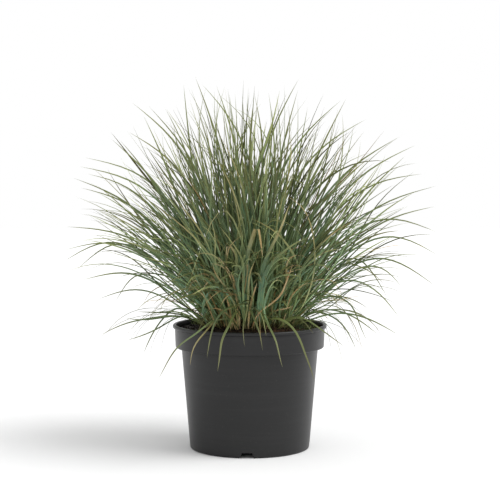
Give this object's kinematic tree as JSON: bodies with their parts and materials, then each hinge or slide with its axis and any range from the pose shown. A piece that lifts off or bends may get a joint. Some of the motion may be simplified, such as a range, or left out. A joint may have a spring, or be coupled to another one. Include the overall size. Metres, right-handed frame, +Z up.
{
  "type": "potted ornamental grass",
  "caption": "Round nursery pot filled with growing mix, with a dense clump of narrow arching grass blades.",
  "frame": {"origin": "on the floor, on the pot's axis", "axes": "+Z up along the pot's axis; -Y is the front, with one drainage notch just to the left of it"},
  "size_m": [0.4661, 0.4676, 0.4547],
  "materials": {
    "pot_plastic": "satin",
    "growing_mix": "matte",
    "grass_blades": "matte",
    "drooping_blades": "matte"
  },
  "bodies": {
    "root": {"pot": "pot_plastic", "growing_mix": "growing_mix", "tuft_01": "grass_blades", "tuft_02": "grass_blades", "tuft_03": "grass_blades", "tuft_04": "grass_blades", "tuft_05": "grass_blades", "tuft_06": "grass_blades", "tuft_07": "grass_blades", "tuft_08": "grass_blades", "tuft_09": "grass_blades", "tuft_10": "grass_blades", "tuft_11": "grass_blades", "tuft_12": "grass_blades", "tuft_13": "grass_blades", "tuft_14": "grass_blades", "tuft_15": "grass_blades", "tuft_16": "grass_blades", "tuft_17": "grass_blades", "tuft_18": "grass_blades", "tuft_19": "grass_blades", "tuft_20": "grass_blades", "tuft_21": "grass_blades", "tuft_22": "grass_blades", "tuft_23": "grass_blades", "tuft_24": "grass_blades", "tuft_25": "grass_blades", "tuft_26": "grass_blades", "tuft_27": "grass_blades", "tuft_28": "grass_blades", "tuft_29": "grass_blades", "tuft_30": "grass_blades", "tuft_31": "grass_blades", "tuft_32": "grass_blades", "tuft_33": "grass_blades", "tuft_34": "grass_blades", "tuft_35": "grass_blades", "tuft_36": "grass_blades", "tuft_37": "grass_blades", "tuft_38": "grass_blades", "tuft_39": "grass_blades", "tuft_40": "grass_blades", "drooping_tuft_1": "drooping_blades", "drooping_tuft_2": "drooping_blades", "drooping_tuft_3": "drooping_blades", "drooping_tuft_4": "drooping_blades", "drooping_tuft_5": "drooping_blades", "drooping_tuft_6": "drooping_blades", "drooping_tuft_7": "drooping_blades", "drooping_tuft_8": "drooping_blades"}
  },
  "joints": []
}
